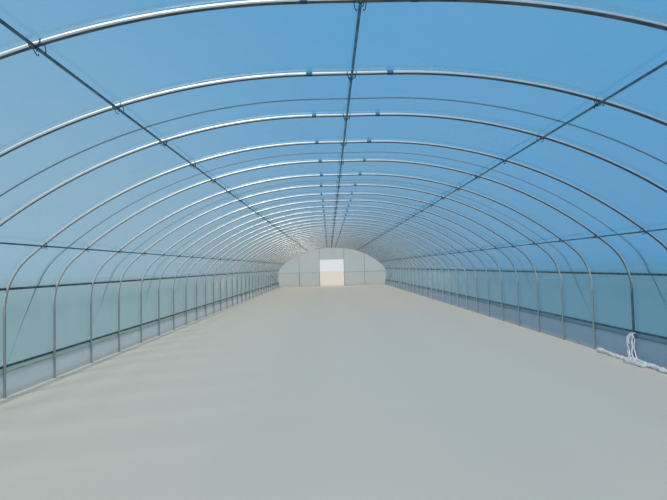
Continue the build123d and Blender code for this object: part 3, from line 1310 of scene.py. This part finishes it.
@dataclass
class JointTape:
    """Blue tape bands over the joints at both ends of each ridge piece."""

    arch: Arch
    finish: bpy.types.Material
    thickness: float = 0.0006
    width: float = 0.047
    sides: int = 16
    rows: int = 5
    first_shifts: tuple[float, ...] = (
        0.0, 0.0, 0.0, -0.0048, -0.0144, -0.008, -0.0064, 0.0128, 0.016, -0.0064, -0.0176
    )
    later_shift: float = 0.012
    width_shares: tuple[float, float] = (0.85, 1.1)
    swell: float = 1.05
    crease: float = 0.04
    crease_scale: float = 60.0

    def build(self) -> None:
        """Build a band at each joint."""
        arch, bm, rng = self.arch, bmesh.new(), random.Random(11)
        for i, y in enumerate(arch.hoop_places):
            known = i < len(self.first_shifts)
            shift = self.first_shifts[i] if known else rng.uniform(-self.later_shift, self.later_shift)
            for side in Side:
                width = self.width * rng.uniform(*self.width_shares)
                middle = Vector((side.value * arch.ridge_half + shift, y, arch.ridge_height))
                self._wrap(bm, middle, width)
        piece_from("joint_tape", bm, self.finish)

    def _wrap(self, bm: bmesh.types.BMesh, middle: Vector, width: float) -> None:
        """Wrap one creased band, pulled in at its rims, round a tube along X.

        Args:
            bm: Where the band is added.
            middle: Middle of the band.
            width: Width of the band.
        """
        start = Matrix.Translation(middle - Vector((width / 2, 0, 0)))
        radius = self.arch.tube_radius + self.thickness
        band = Tube(bm, start @ Matrix.Rotation(math.pi / 2, 4, "Y"), radius, self.sides)
        for _ in range(self.rows):
            band.draw_on(Matrix.Translation((width / self.rows, 0, 0)))
        for ring in band.rings[1:-1]:
            for vert in ring:
                centre = Vector((vert.co.x, middle.y, middle.z))
                swell = self.swell + self.crease * noise.noise(vert.co * self.crease_scale)
                vert.co = centre + (vert.co - centre) * swell


@dataclass
class SpringWires:
    """Zigzag wires that press the film into the film-lock channels."""

    arch: Arch
    finish: bpy.types.Material
    wire_radius: float = 0.0013
    sides: int = 4
    half_width: float = 0.0105
    half_pitch: float = 0.045
    depth: float = 0.0105
    straight_share: float = 0.2
    weld: float = 0.0001

    def build(self) -> None:
        """Build a wire in each of the four channels."""
        arch, bm = self.arch, bmesh.new()
        sunk = Matrix.Translation((0, 0, self.depth))
        places = []
        for side in Side:
            places += [arch.channel_frame(side) @ sunk, arch.skirt_channel_frame(side) @ sunk]
        stamp(bm, self._zigzag(), places)
        piece_from("channel_wires", bm, self.finish)

    def _zigzag(self) -> bpy.types.Mesh:
        """One wire along Y: a single wave, repeated end to end and closed.

        Returns:
            The shape.
        """
        bm = bmesh.new()
        waves = int(self.arch.half_length / self.half_pitch) - 1
        start = Matrix.Translation((-self.half_width, -waves * self.half_pitch, 0))
        wire = Tube(bm, start @ Matrix.Rotation(math.pi / 2, 4, "X"), self.wire_radius, self.sides)
        straight = self.half_pitch * self.straight_share
        for way in (1, -1):
            wire.draw_on(Matrix.Translation((0, straight, 0)))
            wire.draw_on(Matrix.Translation((2 * self.half_width * way, self.half_pitch - straight, 0)))
        wave = bm.verts[:] + bm.edges[:] + bm.faces[:]
        bmesh.ops.spin(
            bm, geom=wave, cent=(0, 0, 0), axis=(0, 0, 1), dvec=(0, 2 * self.half_pitch, 0), angle=0,
            steps=waves - 1, use_duplicate=True,
        )
        bmesh.ops.remove_doubles(bm, verts=bm.verts, dist=self.weld)
        bmesh.ops.holes_fill(bm, edges=[edge for edge in bm.edges if edge.is_boundary], sides=self.sides)
        return mesh_from(bm, "zigzag")


@dataclass
class StakeKnots:
    """The tied ends of the film ropes, through the holes in their stakes."""

    arch: Arch
    finish: bpy.types.Material
    rope_radius: float = 0.0024
    tail_radius: float = 0.00216
    sides: int = 6
    sway: float = 0.15
    inset: float = 0.003
    loop_steps: int = 18
    loop_size: tuple[float, float] = (0.0088, 0.0175)
    loop_middle: float = -0.010
    loop_pitch: float = 0.006
    knot_steps: int = 30
    knot_size: float = 0.0036
    knot_lobes: float = 1.7
    knot_middle: Triple = (-0.004, 0.0, 0.014)

    def build(self) -> None:
        """Build a loop and a knot at each stake."""
        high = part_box("rope_stakes")[1]
        bm, rng = bmesh.new(), random.Random(3)
        places = []
        for y in self.arch.rope_places:
            for side in Side:
                turn = Matrix.Rotation(rng.uniform(-self.sway, self.sway), 4, "Z")
                there = Vector((side.value * (high.x - self.inset), y, high.z))
                places.append(Matrix.Translation(there) @ side.mirror @ turn)
        stamp(bm, self._knot(), places)
        piece_from("stake_knots", bm, self.finish)

    def _knot(self) -> bpy.types.Mesh:
        """The loop through a stake's hole, the knot over the stake and its loose tail.

        Returns:
            The shape, about the middle of the stake's top.
        """
        bm = bmesh.new()
        wide, tall = self.loop_size
        loop = [
            Vector((
                math.cos(a) * wide,
                (a / math.tau - 0.5) * self.loop_pitch,
                math.sin(a) * tall + self.loop_middle,
            ))
            for a in self._turn(self.loop_steps)
        ]
        knot = [
            Vector(self.knot_middle) + Vector((
                math.sin(a) + self.knot_lobes * math.sin(2 * a),
                math.sin(3 * a),
                math.cos(a) - self.knot_lobes * math.cos(2 * a),
            )) * self.knot_size
            for a in self._turn(self.knot_steps)
        ]
        tail = [Vector(point) for point in (
            (0.002, 0.004, 0.012), (0.012, 0.012, 0.006), (0.018, 0.017, -0.012), (0.019, 0.019, -0.034)
        )]
        for path, radius in ((loop, self.rope_radius), (knot, self.rope_radius), (tail, self.tail_radius)):
            sweep(bm, path, radius, self.sides)
        return mesh_from(bm, "knot")

    @staticmethod
    def _turn(count: int) -> list[float]:
        """Evenly spaced angles once round."""
        return [math.tau * i / count for i in range(count + 1)]


@dataclass
class TornFilm:
    """White film tied round a leg of the right wall, with its ends along the wall foot."""

    arch: Arch
    finish: bpy.types.Material
    leg: int = 7
    knot_drop: float = 0.02
    strand_radius: float = 0.008
    heap_radius: float = 0.026
    sides: int = 12
    crease_scale: float = 22.0
    crease_seed: int = 5
    ground_gap: float = 0.001
    outer_gap: float = 0.034

    def build(self) -> None:
        """Build the knot, its hanging strands and the heaps on the ground."""
        bm = bmesh.new()
        noise.seed_set(self.crease_seed)
        strands = [(path, self.strand_radius) for path in (self._ring(), *self._strands())]
        strands += [(path, self.heap_radius) for path in self._heaps()]
        for i, (path, radius) in enumerate(strands):
            self._crumple(sweep(bm, self._finer(path), radius, self.sides), i, radius)
        piece_from("torn_white_film", bm, self.finish)

    @property
    def _foot(self) -> Vector:
        """Place on the ground at the inner side of the leg."""
        return Vector((self.arch.half_span - self.arch.tube_radius, self.arch.hoop_places[self.leg], 0))

    @property
    def _knot_height(self) -> float:
        """Height at which the film is tied, just under the skirt channel's middle."""
        return self.arch.skirt_height(Side.RIGHT) - self.knot_drop

    def _ring(self) -> list[Vector]:
        """Path of the film round the leg.

        Returns:
            Its points, with a gap at the outer side.
        """
        centre = self._foot + Vector((self.arch.tube_radius, 0, self._knot_height))
        radius = self.arch.tube_radius + self.strand_radius
        turns = [math.radians(40 * i + 100) for i in range(8)]
        return [centre + Vector((math.cos(turn), math.sin(turn), 0)) * radius for turn in turns]

    def _strands(self) -> list[list[Vector]]:
        """Paths of the strands that hang from the knot.

        Returns:
            The points of each, from the knot down.
        """
        tied = self._foot + Vector((-0.01, 0, self._knot_height))
        drops = [
            [(-0.01, 0.02, 0.0), (-0.03, 0.07, -0.06), (-0.04, 0.05, -0.17), (-0.06, 0.01, -0.27),
             (-0.08, -0.05, -0.36)],
            [(-0.01, 0.01, 0.0), (-0.04, 0.03, -0.05), (-0.06, 0.02, -0.15), (-0.07, -0.04, -0.26),
             (-0.10, -0.11, -0.36)],
            [(-0.01, -0.01, 0.0), (-0.03, -0.05, -0.05), (-0.05, -0.07, -0.16), (-0.07, -0.09, -0.27),
             (-0.09, -0.17, -0.36)],
            [(-0.01, -0.02, 0.0), (-0.02, -0.08, -0.07), (-0.04, -0.10, -0.17), (-0.05, -0.13, -0.28),
             (-0.07, -0.22, -0.36)],
            [(-0.02, 0.0, -0.01), (-0.05, 0.01, -0.08), (-0.06, -0.02, -0.14)],
        ]
        return [[tied + Vector(point) for point in drop] for drop in drops]

    def _heaps(self) -> list[list[Vector]]:
        """Paths of the heaps along the wall foot.

        Returns:
            The points of each.
        """
        heaps = [
            [(-0.10, 0.05, 0.04), (-0.07, -0.12, 0.06), (-0.05, -0.30, 0.045), (-0.04, -0.52, 0.035),
             (-0.05, -0.76, 0.025), (-0.03, -1.05, 0.02)],
            [(-0.13, 0.01, 0.02), (-0.12, -0.16, 0.03), (-0.09, -0.38, 0.02)],
            [(-0.03, 0.17, 0.02), (-0.05, 0.40, 0.03), (-0.04, 0.60, 0.045), (-0.07, 0.80, 0.05)],
        ]
        return [[self._foot + Vector(point) for point in heap] for heap in heaps]

    @staticmethod
    def _finer(path: list[Vector], cuts: int = 6) -> list[Vector]:
        """Divide each run of a strand evenly."""
        finer = [a.lerp(b, i / cuts) for a, b in zip(path, path[1:]) for i in range(cuts)]
        return finer + [path[-1]]

    def _crumple(self, verts: Verts, seed: int, radius: float) -> None:
        """Crease a strand all over and keep it above the ground.

        Args:
            verts: Vertices of the strand.
            seed: Number that sets its creases apart from the others'.
            radius: Radius of the strand, which the creases' depth goes by.
        """
        for vert in verts:
            here = vert.co * self.crease_scale + Vector((seed * 9.1, 0, 0))
            vert.co += (noise.noise_vector(here) * 0.9 + noise.noise_vector(here * 2.7) * 0.4) * radius
            vert.co.z = max(vert.co.z, self.ground_gap)
            vert.co.x = min(vert.co.x, self.arch.half_span + self.outer_gap)


@dataclass
class Studio:
    """Pale floor, soft light and the photograph's viewpoint."""

    camera_at: Triple = (-0.21, -17.58, 1.42)
    yaw: float = 0.0105
    pitch: float = 0.036
    roll: float = -0.025
    focal_pixels: float = 474.0
    frame_width: float = 667.0
    sensor: float = 36.0
    sight: float = 500.0
    floor_reach: float = 160.0
    floor_drop: float = 0.001
    floor_colour: Colour = (0.64, 0.59, 0.52, 1)
    sky_colour: Colour = (0.70, 0.74, 0.78, 1)
    world_colour: Colour = (0.96, 0.98, 1.0, 1)
    world_strength: float = 0.55
    sun_strength: float = 2.2
    sun_degrees: float = 14.0
    sun_colour: Triple = (1.0, 0.97, 0.92)
    sun_way: Triple = (0.30, 0.55, -0.78)

    def build(self) -> None:
        """Set up the floor, the lights, the background and the camera."""
        self._floor()
        self._sun()
        self._world()
        self._camera()
        bpy.context.scene.view_settings.view_transform = "Standard"

    def _floor(self) -> None:
        """Lay a pale floor just under the tunnel."""
        bm = bmesh.new()
        bmesh.ops.create_grid(bm, x_segments=4, y_segments=4, size=self.floor_reach)
        bmesh.ops.translate(bm, verts=bm.verts, vec=(0, 0, -self.floor_drop))
        floor = bpy.data.objects.new("floor", mesh_from(bm, "floor"))
        floor.data.materials.append(PlainGround("floor", self.floor_colour).material())
        bpy.context.scene.collection.objects.link(floor)

    def _sun(self) -> None:
        """Hang a soft sun high behind the camera, a little to its left."""
        light = bpy.data.lights.new("sun", "SUN")
        light.energy = self.sun_strength
        light.angle = math.radians(self.sun_degrees)
        light.color = self.sun_colour
        sun = bpy.data.objects.new("sun", light)
        sun.rotation_euler = Vector(self.sun_way).to_track_quat("-Z", "Y").to_euler()
        bpy.context.scene.collection.objects.link(sun)

    def _world(self) -> None:
        """Light everything evenly, and show a pale background behind it."""
        world = bpy.data.worlds.new("studio")
        bpy.context.scene.world = world
        book = ShaderBook(world)
        camera, mirrored, passed = [
            book.node("ShaderNodeLightPath", output=f"Is {ray} Ray")
            for ray in ("Camera", "Glossy", "Transmission")
        ]
        light = {"Color": self.world_colour, "Strength": self.world_strength}
        lit = book.node("ShaderNodeBackground", inputs=light)
        seen = book.node("ShaderNodeBackground", inputs={"Color": self.sky_colour})
        book.finish(book.mixed(camera.highest(mirrored).highest(passed), lit, seen))

    def _camera(self) -> None:
        """Stand the camera inside the near doorway."""
        data = bpy.data.cameras.new("camera")
        data.sensor_width = self.sensor
        data.lens = self.focal_pixels * self.sensor / self.frame_width
        data.clip_end = self.sight
        camera = bpy.data.objects.new("camera", data)
        turned = Matrix.Rotation(-self.yaw, 4, "Z")
        raised = Matrix.Rotation(math.pi / 2 + self.pitch, 4, "X")
        rolled = Matrix.Rotation(self.roll, 4, "Z")
        camera.matrix_world = Matrix.Translation(self.camera_at) @ turned @ raised @ rolled
        bpy.context.scene.collection.objects.link(camera)
        bpy.context.scene.camera = camera


def main() -> None:
    """Build the tunnel's looks round its frame."""
    logging.basicConfig(level=logging.INFO, format="%(relativeCreated)6d ms %(message)s")
    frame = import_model()
    log.info("frame loaded")
    Studio().build()
    arch = Arch()
    finishes = Finishes()
    slots = {part["node"]: part["material_slot"] for part in frame["record"]["subparts"]}
    Steelwork(frame["nodes"], slots, finishes).dress()
    RoofCover(arch, finishes.roof_film).build()
    for side in Side:
        SideCurtain(arch, finishes.curtain_film, side).build()
        Skirt(arch, finishes.skirt_film, side).build()
    for end in End:
        EndSheet(arch, finishes.end_film, end).build()
    PurlinClips(arch, finishes.wire).build()
    JointTape(arch, finishes.tape).build()
    SpringWires(arch, finishes.wire).build()
    StakeKnots(arch, finishes.rope).build()
    TornFilm(arch, finishes.scrap).build()


if __name__ == "__main__":
    main()
